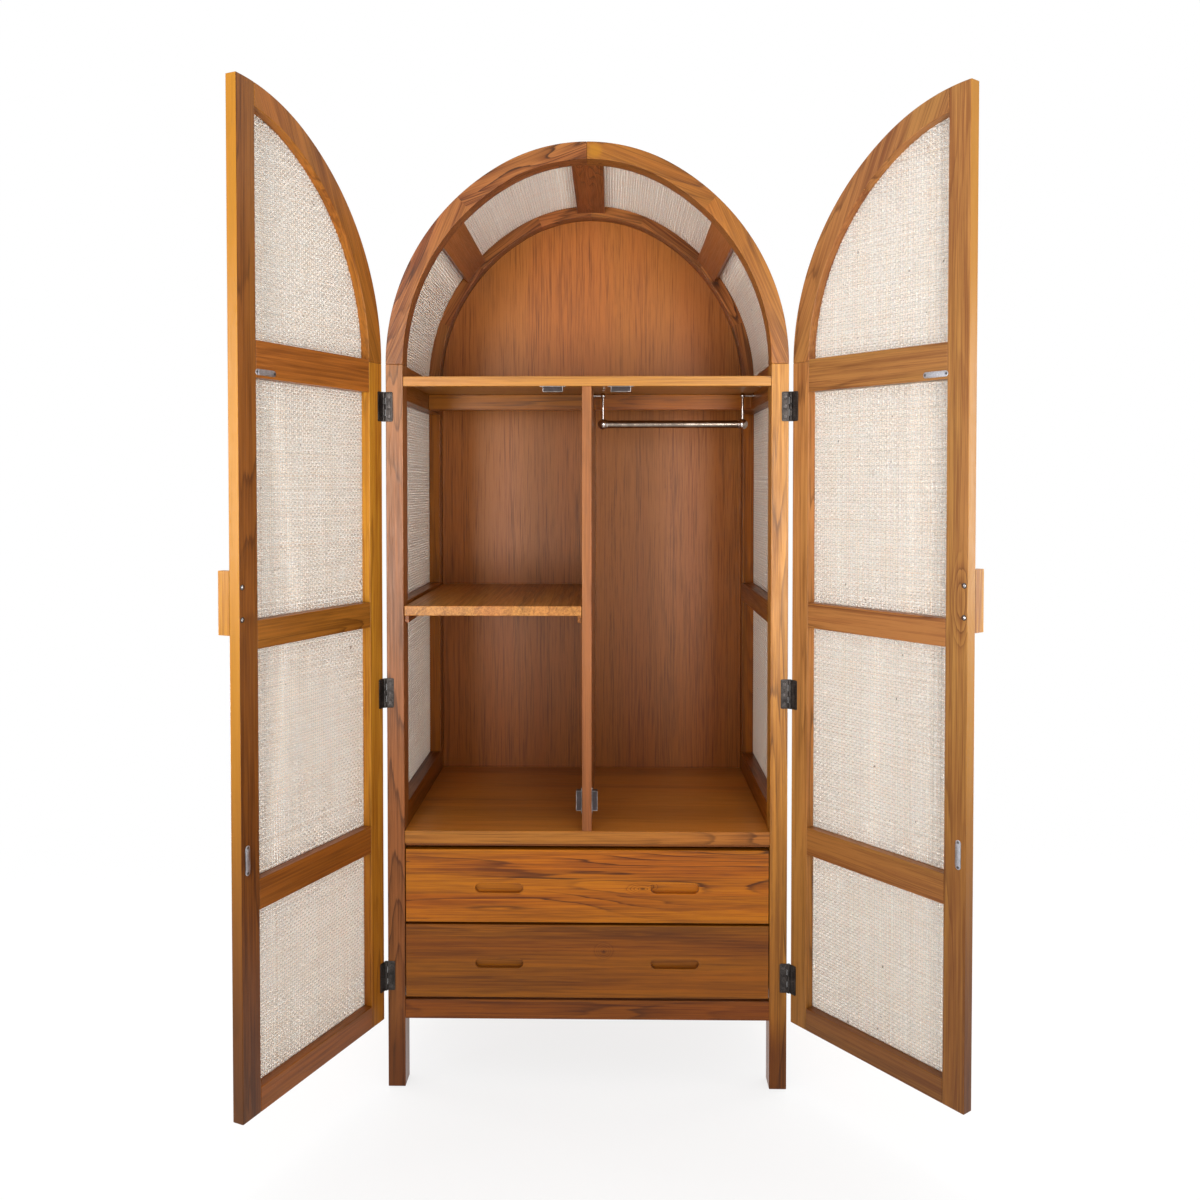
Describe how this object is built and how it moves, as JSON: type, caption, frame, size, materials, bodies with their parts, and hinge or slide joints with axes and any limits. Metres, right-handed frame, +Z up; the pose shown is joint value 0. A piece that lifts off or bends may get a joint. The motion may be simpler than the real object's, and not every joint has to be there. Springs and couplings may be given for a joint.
{
  "type": "wardrobe cupboard",
  "caption": "Arched teak and cane wardrobe with swinging doors, a vaulted top shelf, a loose shelf, a hanging rail and drawers on telescoping runners.",
  "frame": {"origin": "on the floor under the middle of the carcass, half way across its width and half way through its depth", "axes": "+Z up; the front with its doors and drawers faces -Y; +X is the hanging side, on the right seen from the front"},
  "size_m": [1.4573, 0.986, 2.126],
  "materials": {
    "teak_frame": "oiled teak, satin",
    "teak_panel": "oiled teak boards, satin",
    "teak_fronts": "oiled teak with dark streaks",
    "cane": "woven cane, matt",
    "hinge_metal": "dark bronzed steel",
    "zinc_steel": "zinc plated",
    "polished_steel": "polished",
    "runner_steel": "zinc plated"
  },
  "bodies": {
    "carcass": {"arch_cane": "cane", "arch_ribs": "teak_frame", "back_arch": "teak_frame", "back_panel": "teak_panel", "bottom_rails": "teak_frame", "cabinet_runners": "runner_steel", "divider": "teak_panel", "drawer_strip": "teak_frame", "floor_shelf": "teak_panel", "front_arch_left": "teak_frame", "front_arch_right": "teak_frame", "hinge_pins": "hinge_metal", "left_back_post": "teak_frame", "left_front_post": "teak_frame", "left_side_rails": "teak_frame", "magnetic_catches": "zinc_steel", "post_hinge_leaves": "hinge_metal", "post_leaf_screws": "zinc_steel", "rail_hangers": "polished_steel", "rail_tube": "polished_steel", "right_back_post": "teak_frame", "right_front_post": "teak_frame", "right_side_rails": "teak_frame", "runner_spacers": "teak_frame", "shelf_cleats": "teak_frame", "side_cane": "cane", "top_shelf": "teak_panel", "top_shelf_bar": "teak_frame"},
    "mid_shelf": {"mid_shelf": "teak_panel"},
    "left_door": {"left_door_cane": "cane", "left_door_curved_rail": "teak_frame", "left_door_handle": "teak_frame", "left_door_handle_bolts": "zinc_steel", "left_door_hinge_leaves": "hinge_metal", "left_door_hinge_stile": "teak_frame", "left_door_leaf_screws": "zinc_steel", "left_door_meeting_stile": "teak_frame", "left_door_rails": "teak_frame", "left_door_strike_plates": "zinc_steel"},
    "right_door": {"right_door_cane": "cane", "right_door_curved_rail": "teak_frame", "right_door_handle": "teak_frame", "right_door_handle_bolts": "zinc_steel", "right_door_hinge_leaves": "hinge_metal", "right_door_hinge_stile": "teak_frame", "right_door_leaf_screws": "zinc_steel", "right_door_meeting_stile": "teak_frame", "right_door_rails": "teak_frame", "right_door_strike_plates": "zinc_steel"},
    "upper_drawer": {"upper_drawer_bottom": "teak_panel", "upper_drawer_box": "teak_frame", "upper_drawer_front": "teak_fronts", "upper_drawer_runners": "runner_steel"},
    "upper_runners": {"upper_runner_middles": "runner_steel"},
    "lower_drawer": {"lower_drawer_bottom": "teak_panel", "lower_drawer_box": "teak_frame", "lower_drawer_front": "teak_fronts", "lower_drawer_runners": "runner_steel"},
    "lower_runners": {"lower_runner_middles": "runner_steel"}
  },
  "joints": [
    {"name": "left_door_hinge", "type": "hinge", "parent": "carcass", "child": "left_door", "pos_m": [-0.454, -0.287, 0.896], "axis": [0, 0, -1], "range_deg": [-113.7, 66.3]},
    {"name": "right_door_hinge", "type": "hinge", "parent": "carcass", "child": "right_door", "pos_m": [0.454, -0.287, 0.896], "axis": [0, 0, 1], "range_deg": [-127.3, 52.7]},
    {"name": "upper_drawer_slide", "type": "slide", "parent": "carcass", "child": "upper_drawer", "axis": [0, -1, 0], "range_m": [0, 0.4]},
    {"name": "upper_runner_slide", "type": "slide", "parent": "carcass", "child": "upper_runners", "axis": [0, -1, 0], "range_m": [0, 0.2]},
    {"name": "lower_drawer_slide", "type": "slide", "parent": "carcass", "child": "lower_drawer", "axis": [0, -1, 0], "range_m": [0, 0.4]},
    {"name": "lower_runner_slide", "type": "slide", "parent": "carcass", "child": "lower_runners", "axis": [0, -1, 0], "range_m": [0, 0.2]},
    {"name": "mid_shelf_slide", "type": "slide", "parent": "carcass", "child": "mid_shelf", "axis": [0, -1, 0], "range_m": [0, 0.25]}
  ],
  "couplings": [
    {"joint": "upper_runner_slide", "follows": "upper_drawer_slide", "ratio": 0.5},
    {"joint": "lower_runner_slide", "follows": "lower_drawer_slide", "ratio": 0.5}
  ]
}
